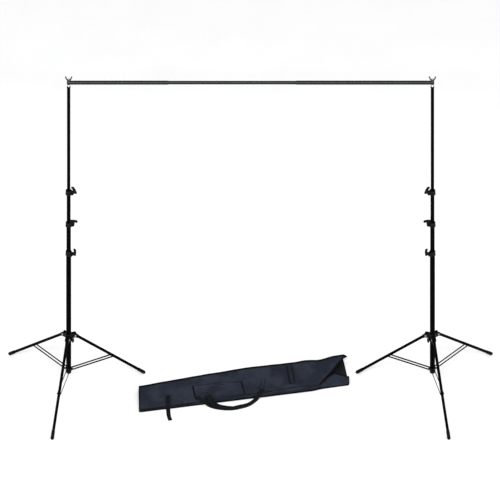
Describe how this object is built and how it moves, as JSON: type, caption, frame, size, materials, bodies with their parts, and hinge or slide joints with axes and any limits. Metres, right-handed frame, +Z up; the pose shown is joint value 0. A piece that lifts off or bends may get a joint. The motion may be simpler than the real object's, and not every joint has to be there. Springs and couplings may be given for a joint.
{
  "type": "background support system",
  "caption": "Two telescoping stands with folding legs hold a telescoping crossbar for a studio backdrop; a soft carry bag lies between them.",
  "frame": {"origin": "on the floor, at the middle of the whole rig's footprint", "axes": "+X along the crossbar, +Y to the back of the rig, +Z up"},
  "size_m": [2.664, 0.7339, 2.2604],
  "materials": {
    "black_tube": "satin black enamel on aluminium tube",
    "black_strut": "satin black enamel on flat bar",
    "crossbar_enamel": "gloss black enamel",
    "collar_casting": "moulded black plastic, lightly grained",
    "knob_plastic": "moulded black plastic",
    "cap_plastic": "moulded black plastic",
    "rivet_steel": "blackened steel",
    "boot_rubber": "matt rubber",
    "chrome": "bright plated",
    "bag_fabric": "woven nylon, dark navy grey",
    "bag_webbing": "ribbed black webbing"
  },
  "bodies": {
    "left_base": {"left_base_tube": "black_tube", "left_collar_1": "collar_casting", "left_spreader_hub": "collar_casting", "left_end_plug": "cap_plastic"},
    "left_second": {"left_second_tube": "black_tube", "left_collar_2": "collar_casting"},
    "left_third": {"left_third_tube": "black_tube", "left_collar_3": "collar_casting"},
    "left_hub": {"left_leg_hub": "collar_casting", "left_hub_pins": "rivet_steel"},
    "left_leg_1_body": {"left_leg_1": "black_tube", "left_foot_1": "boot_rubber"},
    "left_strut_1_body": {"left_strut_1": "black_strut"},
    "left_collar_knob_1_body": {"left_collar_knob_1": "knob_plastic"},
    "left_leg_2_body": {"left_leg_2": "black_tube", "left_foot_2": "boot_rubber"},
    "left_strut_2_body": {"left_strut_2": "black_strut"},
    "left_collar_knob_2_body": {"left_collar_knob_2": "knob_plastic"},
    "left_leg_3_body": {"left_leg_3": "black_tube", "left_foot_3": "boot_rubber"},
    "left_strut_3_body": {"left_strut_3": "black_strut"},
    "left_collar_knob_3_body": {"left_collar_knob_3": "knob_plastic"},
    "left_hub_knob_body": {"left_hub_knob": "knob_plastic"},
    "left_wing_nut_body": {"left_wing_nut": "chrome"},
    "right_base": {"right_base_tube": "black_tube", "right_collar_1": "collar_casting", "right_spreader_hub": "collar_casting", "right_end_plug": "cap_plastic"},
    "right_second": {"right_second_tube": "black_tube", "right_collar_2": "collar_casting"},
    "right_third": {"right_third_tube": "black_tube", "right_collar_3": "collar_casting"},
    "right_hub": {"right_leg_hub": "collar_casting", "right_hub_pins": "rivet_steel"},
    "right_leg_1_body": {"right_leg_1": "black_tube", "right_foot_1": "boot_rubber"},
    "right_strut_1_body": {"right_strut_1": "black_strut"},
    "right_collar_knob_1_body": {"right_collar_knob_1": "knob_plastic"},
    "right_leg_2_body": {"right_leg_2": "black_tube", "right_foot_2": "boot_rubber"},
    "right_strut_2_body": {"right_strut_2": "black_strut"},
    "right_collar_knob_2_body": {"right_collar_knob_2": "knob_plastic"},
    "right_leg_3_body": {"right_leg_3": "black_tube", "right_foot_3": "boot_rubber"},
    "right_strut_3_body": {"right_strut_3": "black_strut"},
    "right_collar_knob_3_body": {"right_collar_knob_3": "knob_plastic"},
    "right_hub_knob_body": {"right_hub_knob": "knob_plastic"},
    "right_wing_nut_body": {"right_wing_nut": "chrome"},
    "left_top": {"left_top_tube": "black_tube", "left_spigot": "chrome", "crossbar_left": "crossbar_enamel", "crossbar_cap_left": "cap_plastic"},
    "bar_middle": {"crossbar_middle": "crossbar_enamel"},
    "bar_right": {"crossbar_right": "crossbar_enamel", "crossbar_cap_right": "cap_plastic", "right_top_tube": "black_tube", "right_spigot": "chrome"},
    "bag": {"bag_body": "bag_fabric", "bag_handle": "bag_webbing", "bag_straps": "bag_webbing"}
  },
  "joints": [
    {"name": "left_second_slide", "type": "slide", "parent": "left_base", "child": "left_second", "axis": [0, 0, 1], "range_m": [-0.165, 0.4]},
    {"name": "left_third_slide", "type": "slide", "parent": "left_second", "child": "left_third", "axis": [0, 0, 1], "range_m": [-0.2, 0.38]},
    {"name": "left_top_slide", "type": "slide", "parent": "left_third", "child": "left_top", "axis": [0, 0, 1], "range_m": [-0.7, 0]},
    {"name": "crossbar_middle_slide", "type": "slide", "parent": "left_top", "child": "bar_middle", "axis": [1, 0, 0], "range_m": [0, 0.08]},
    {"name": "crossbar_right_slide", "type": "slide", "parent": "bar_middle", "child": "bar_right", "axis": [1, 0, 0], "range_m": [0, 0.08]},
    {"name": "right_third_slide", "type": "slide", "parent": "bar_right", "child": "right_third", "axis": [0, 0, -1], "range_m": [-0.7, 0]},
    {"name": "right_second_slide", "type": "slide", "parent": "right_third", "child": "right_second", "axis": [0, 0, -1], "range_m": [-0.2, 0.38]},
    {"name": "right_base_slide", "type": "slide", "parent": "right_second", "child": "right_base", "axis": [0, 0, -1], "range_m": [-0.165, 0.4]},
    {"name": "left_hub_slide", "type": "slide", "parent": "left_base", "child": "left_hub", "axis": [0, 0, 1], "range_m": [0, 0.2982]},
    {"name": "left_leg_1_hinge", "type": "hinge", "parent": "left_hub", "child": "left_leg_1_body", "pos_m": [-0.96671, 0.07782, 0.384], "axis": [-0.309, 0.9511, 0], "range_deg": [0, 46.63]},
    {"name": "left_strut_1_hinge", "type": "hinge", "parent": "left_base", "child": "left_strut_1_body", "pos_m": [-0.98098, 0.07318, 0.144], "axis": [0.309, -0.9511, 0], "range_deg": [0, 78.45]},
    {"name": "left_collar_knob_1_turn", "type": "hinge", "parent": "left_base", "child": "left_collar_knob_1_body", "pos_m": [-0.98238, 0.05222, 0.985], "axis": [0.6428, 0.766, 0], "range_deg": [0, 450]},
    {"name": "left_leg_2_hinge", "type": "hinge", "parent": "left_hub", "child": "left_leg_2_body", "pos_m": [-1.02601, 0.09042, 0.384], "axis": [-0.6691, -0.7431, 0], "range_deg": [0, 46.63]},
    {"name": "left_strut_2_hinge", "type": "hinge", "parent": "left_base", "child": "left_strut_2_body", "pos_m": [-1.01486, 0.08038, 0.144], "axis": [0.6691, 0.7431, 0], "range_deg": [0, 78.45]},
    {"name": "left_collar_knob_2_turn", "type": "hinge", "parent": "left_second", "child": "left_collar_knob_2_body", "pos_m": [-0.97709, 0.06499, 1.193], "axis": [0.0872, 0.9962, 0], "range_deg": [0, 450]},
    {"name": "left_leg_3_hinge", "type": "hinge", "parent": "left_hub", "child": "left_leg_3_body", "pos_m": [-1.00728, 0.03277, 0.384], "axis": [0.9781, -0.2079, 0], "range_deg": [0, 46.63]},
    {"name": "left_strut_3_hinge", "type": "hinge", "parent": "left_base", "child": "left_strut_3_body", "pos_m": [-1.00416, 0.04744, 0.144], "axis": [-0.9781, 0.2079, 0], "range_deg": [0, 78.45]},
    {"name": "left_collar_knob_3_turn", "type": "hinge", "parent": "left_third", "child": "left_collar_knob_3_body", "pos_m": [-0.97839, 0.05913, 1.424], "axis": [0.342, 0.9397, 0], "range_deg": [0, 450]},
    {"name": "left_hub_knob_turn", "type": "hinge", "parent": "left_hub", "child": "left_hub_knob_body", "pos_m": [-0.97771, 0.04693, 0.368], "axis": [0.7431, -0.6691, 0], "range_deg": [0, 450]},
    {"name": "left_wing_nut_turn", "type": "hinge", "parent": "left_top", "child": "left_wing_nut_body", "pos_m": [-1, 0.067, 2.235], "axis": [0, 0, 1], "range_deg": [0, 810]},
    {"name": "right_hub_slide", "type": "slide", "parent": "right_base", "child": "right_hub", "axis": [0, 0, 1], "range_m": [0, 0.2982]},
    {"name": "right_leg_1_hinge", "type": "hinge", "parent": "right_hub", "child": "right_leg_1_body", "pos_m": [0.96671, 0.07782, 0.384], "axis": [-0.309, -0.9511, 0], "range_deg": [0, 46.63]},
    {"name": "right_strut_1_hinge", "type": "hinge", "parent": "right_base", "child": "right_strut_1_body", "pos_m": [0.98098, 0.07318, 0.144], "axis": [0.309, 0.9511, 0], "range_deg": [0, 78.45]},
    {"name": "right_collar_knob_1_turn", "type": "hinge", "parent": "right_base", "child": "right_collar_knob_1_body", "pos_m": [0.98238, 0.05222, 0.985], "axis": [-0.6428, 0.766, 0], "range_deg": [0, 450]},
    {"name": "right_leg_2_hinge", "type": "hinge", "parent": "right_hub", "child": "right_leg_2_body", "pos_m": [1.02601, 0.09042, 0.384], "axis": [-0.6691, 0.7431, 0], "range_deg": [0, 46.63]},
    {"name": "right_strut_2_hinge", "type": "hinge", "parent": "right_base", "child": "right_strut_2_body", "pos_m": [1.01486, 0.08038, 0.144], "axis": [0.6691, -0.7431, 0], "range_deg": [0, 78.45]},
    {"name": "right_collar_knob_2_turn", "type": "hinge", "parent": "right_second", "child": "right_collar_knob_2_body", "pos_m": [0.97709, 0.06499, 1.193], "axis": [-0.0872, 0.9962, 0], "range_deg": [0, 450]},
    {"name": "right_leg_3_hinge", "type": "hinge", "parent": "right_hub", "child": "right_leg_3_body", "pos_m": [1.00728, 0.03277, 0.384], "axis": [0.9781, 0.2079, 0], "range_deg": [0, 46.63]},
    {"name": "right_strut_3_hinge", "type": "hinge", "parent": "right_base", "child": "right_strut_3_body", "pos_m": [1.00416, 0.04744, 0.144], "axis": [-0.9781, -0.2079, 0], "range_deg": [0, 78.45]},
    {"name": "right_collar_knob_3_turn", "type": "hinge", "parent": "right_third", "child": "right_collar_knob_3_body", "pos_m": [0.97839, 0.05913, 1.424], "axis": [-0.342, 0.9397, 0], "range_deg": [0, 450]},
    {"name": "right_hub_knob_turn", "type": "hinge", "parent": "right_hub", "child": "right_hub_knob_body", "pos_m": [0.97771, 0.04693, 0.368], "axis": [-0.7431, -0.6691, 0], "range_deg": [0, 450]},
    {"name": "right_wing_nut_turn", "type": "hinge", "parent": "bar_right", "child": "right_wing_nut_body", "pos_m": [1, 0.067, 2.235], "axis": [0, 0, 1], "range_deg": [0, 810]},
    {"name": "bag_lift", "type": "slide", "parent": "left_base", "child": "bag", "axis": [0, 0, 1], "range_m": [0, 0.4]}
  ],
  "couplings": [
    {"joint": "right_third_slide", "follows": "left_top_slide", "ratio": 1},
    {"joint": "right_second_slide", "follows": "left_third_slide", "ratio": 1},
    {"joint": "right_base_slide", "follows": "left_second_slide", "ratio": 1},
    {"joint": "left_leg_1_hinge", "follows": "left_hub_slide", "rad_per_m": 2.7288},
    {"joint": "left_strut_1_hinge", "follows": "left_hub_slide", "rad_per_m": 4.5909},
    {"joint": "left_leg_2_hinge", "follows": "left_hub_slide", "rad_per_m": 2.7288},
    {"joint": "left_strut_2_hinge", "follows": "left_hub_slide", "rad_per_m": 4.5909},
    {"joint": "left_leg_3_hinge", "follows": "left_hub_slide", "rad_per_m": 2.7288},
    {"joint": "left_strut_3_hinge", "follows": "left_hub_slide", "rad_per_m": 4.5909},
    {"joint": "right_leg_1_hinge", "follows": "right_hub_slide", "rad_per_m": 2.7288},
    {"joint": "right_strut_1_hinge", "follows": "right_hub_slide", "rad_per_m": 4.5909},
    {"joint": "right_leg_2_hinge", "follows": "right_hub_slide", "rad_per_m": 2.7288},
    {"joint": "right_strut_2_hinge", "follows": "right_hub_slide", "rad_per_m": 4.5909},
    {"joint": "right_leg_3_hinge", "follows": "right_hub_slide", "rad_per_m": 2.7288},
    {"joint": "right_strut_3_hinge", "follows": "right_hub_slide", "rad_per_m": 4.5909}
  ]
}
